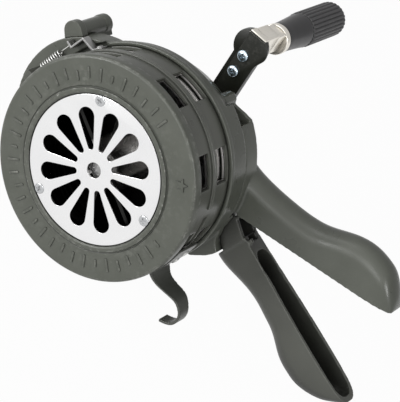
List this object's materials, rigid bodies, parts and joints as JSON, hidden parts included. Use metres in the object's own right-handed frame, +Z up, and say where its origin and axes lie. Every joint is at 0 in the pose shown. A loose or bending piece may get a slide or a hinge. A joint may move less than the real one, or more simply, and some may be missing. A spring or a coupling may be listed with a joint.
{
  "type": "hand crank siren",
  "caption": "Hand-held mechanical siren: round stator drum with a slotted grille, vaned rotor geared up from a folding crank, shutter trigger, fixed grip and folding grip.",
  "frame": {"origin": "centre of the front ring's lip, in the plane of the lip", "axes": "-Y out of the front ring, +Y along the rotor axis towards the crank, +X along the grips, +Z up as the siren rests on its ring and lower grip"},
  "size_m": [0.3017, 0.2243, 0.1739],
  "materials": {
    "cast_paint": "satin grey paint on cast aluminium",
    "trigger_paint": "satin grey paint on bent steel strip",
    "polished_plate": "polished, with fine scratches",
    "shutter_metal": "bright rolled steel",
    "zinc_screws": "zinc plated, bright",
    "plated_steel": "plated, satin",
    "spring_steel": "drawn wire",
    "rotor_aluminium": "turned and cast, satin",
    "ground_steel": "ground",
    "gear_steel": "hobbed and lightly oiled",
    "bronze": "sintered bronze",
    "arm_black": "black satin paint",
    "bracket_nickel": "nickel plated with a warm tone",
    "grip_plastic": "dark grey, fine matte grain"
  },
  "bodies": {
    "root": {"front_ring": "cast_paint", "grille": "polished_plate", "grille_screws": "zinc_screws", "stator_drum": "cast_paint", "drum_screws": "zinc_screws", "housing": "cast_paint", "top_lug": "cast_paint", "rear_cover": "cast_paint", "cover_screws": "zinc_screws", "grip_hinge_pin": "plated_steel", "rotor_bearing_outer": "ground_steel", "layshaft_bushes": "bronze", "crank_bush": "bronze", "spring_anchor": "shutter_metal", "return_spring": "spring_steel"},
    "shutter": {"shutter_ring": "shutter_metal", "trigger": "trigger_paint", "trigger_rivets": "zinc_screws", "spring_arm": "shutter_metal"},
    "lower_grip": {"lower_grip": "cast_paint"},
    "rotor": {"rotor": "rotor_aluminium", "rotor_shaft": "ground_steel", "rotor_washer": "plated_steel", "rotor_nut": "plated_steel", "rotor_bearing_inner": "ground_steel", "rotor_bearing_balls": "ground_steel", "rotor_pinion": "gear_steel"},
    "layshaft": {"layshaft": "ground_steel", "layshaft_gear": "gear_steel", "layshaft_pinion": "gear_steel"},
    "crank": {"crank_shaft": "ground_steel", "crank_gear": "gear_steel", "crank_washer": "plated_steel", "crank_nut": "plated_steel", "crank_arm": "arm_black", "crank_screws": "zinc_screws", "fold_bracket": "bracket_nickel", "fold_pin": "plated_steel"},
    "handle": {"handle_knuckle": "bracket_nickel", "grip_spindle": "plated_steel", "grip_collar": "bracket_nickel", "grip_end_screw": "plated_steel"},
    "grip": {"crank_grip_core": "grip_plastic", "crank_grip_sleeve": "grip_plastic"}
  },
  "joints": [
    {"name": "trigger_pull", "type": "hinge", "parent": "root", "child": "shutter", "pos_m": [0, 0, 0], "axis": [0, -1, 0], "range_deg": [0, 20], "stiffness_Nm_per_rad": 0.6, "springref_deg": -40.11, "deforming": ["return_spring"]},
    {"name": "lower_grip_fold", "type": "hinge", "parent": "root", "child": "lower_grip", "pos_m": [0.07215, 0.0875, -0.00088], "axis": [0, -1, 0], "range_deg": [0, 29.2]},
    {"name": "crank_turn", "type": "hinge", "parent": "root", "child": "crank", "pos_m": [0.00898, 0.0855, 0.00061], "axis": [0, 1, 0], "continuous": true},
    {"name": "layshaft_turn", "type": "hinge", "parent": "root", "child": "layshaft", "pos_m": [-0.03791, 0.065, -0.00259], "axis": [0, 1, 0], "continuous": true},
    {"name": "rotor_turn", "type": "hinge", "parent": "root", "child": "rotor", "pos_m": [0, 0.05, 0], "axis": [0, 1, 0], "continuous": true},
    {"name": "handle_fold", "type": "hinge", "parent": "crank", "child": "handle", "pos_m": [0.01245, 0.119, 0.07894], "axis": [-0.9996, 0, 0.0297], "range_deg": [0, 90]},
    {"name": "grip_spin", "type": "hinge", "parent": "handle", "child": "grip", "pos_m": [0.01268, 0.139, 0.08654], "axis": [0, 1, 0], "continuous": true}
  ],
  "couplings": [
    {"joint": "layshaft_turn", "follows": "crank_turn", "ratio": -5.7143},
    {"joint": "rotor_turn", "follows": "crank_turn", "ratio": 25.306}
  ]
}
